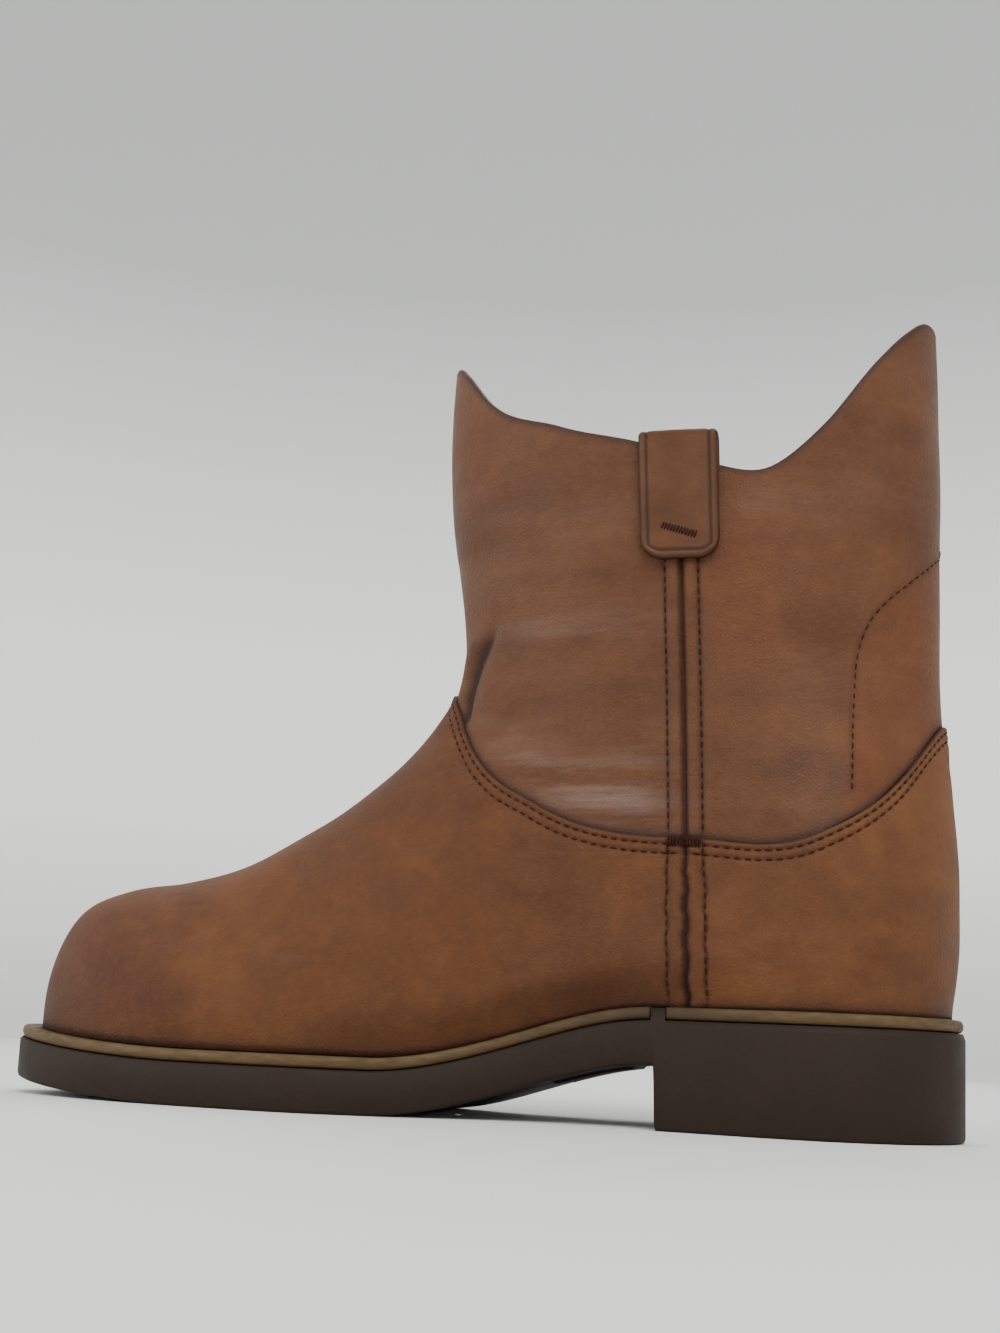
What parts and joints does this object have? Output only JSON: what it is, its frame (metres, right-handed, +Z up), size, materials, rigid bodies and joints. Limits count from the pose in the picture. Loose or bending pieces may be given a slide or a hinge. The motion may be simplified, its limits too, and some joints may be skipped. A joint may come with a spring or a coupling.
{
  "type": "western work boot",
  "caption": "Pull-on leather work boot for the right foot with a scalloped shaft, side seams, pull straps and a lugged rubber sole with a block heel.",
  "frame": {"origin": "on the floor, at the middle of the heel's underside", "axes": "+X towards the toe, +Y towards the medial side of the right foot, +Z up"},
  "size_m": [0.3072, 0.1077, 0.252],
  "materials": {
    "sole_rubber": "matt moulded rubber",
    "welt": "tan edge strip",
    "insole": "plain lining leather",
    "upper_leather": "oiled brown leather, matt with glossy smears",
    "strap_leather": "oiled brown leather"
  },
  "bodies": {
    "root": {"outsole": "sole_rubber", "welt": "welt", "heel_rand": "welt", "insole": "insole", "upper": "upper_leather", "pull_strap_medial": "strap_leather", "pull_strap_lateral": "strap_leather"}
  },
  "joints": []
}
